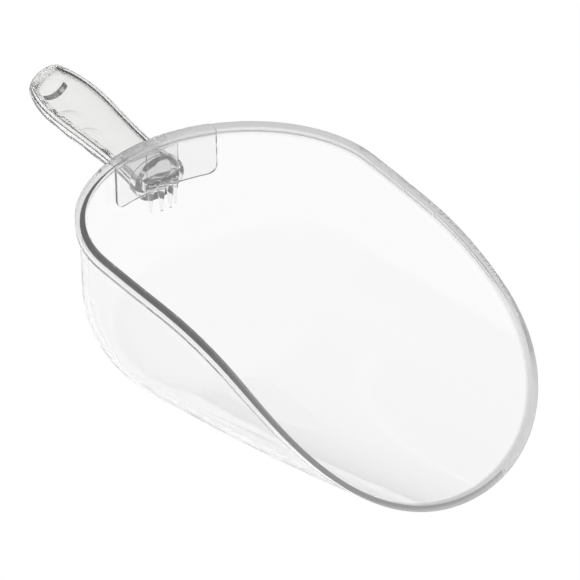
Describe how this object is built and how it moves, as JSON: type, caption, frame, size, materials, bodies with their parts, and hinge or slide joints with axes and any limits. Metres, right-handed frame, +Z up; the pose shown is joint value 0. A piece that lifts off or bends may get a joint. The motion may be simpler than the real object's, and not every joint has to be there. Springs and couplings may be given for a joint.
{
  "type": "ice scoop",
  "caption": "Clear hand scoop with a deep round-backed bowl, a long lip swept down to the front and a hollow two-shell handle, for scooping ice from a bin",
  "frame": {"origin": "On the small flat under the bowl that it stands on, below the bowl's widest point and midway across", "axes": "+X forward from the handle to the lip, +Y to the left, +Z up; the handle leaves the back wall towards -X"},
  "size_m": [0.3088, 0.164, 0.1178],
  "materials": {
    "clear_bowl": "clear colourless polycarbonate, polished moulding",
    "clear_plate": "clear colourless polycarbonate sheet, bonded",
    "clear_handle": "clear colourless polycarbonate, two moulded shells"
  },
  "bodies": {
    "root": {"bowl": "clear_bowl", "back_plate": "clear_plate", "root_bracket": "clear_handle", "handle_top": "clear_handle", "handle_bottom": "clear_handle", "handle_end": "clear_handle"}
  },
  "joints": []
}
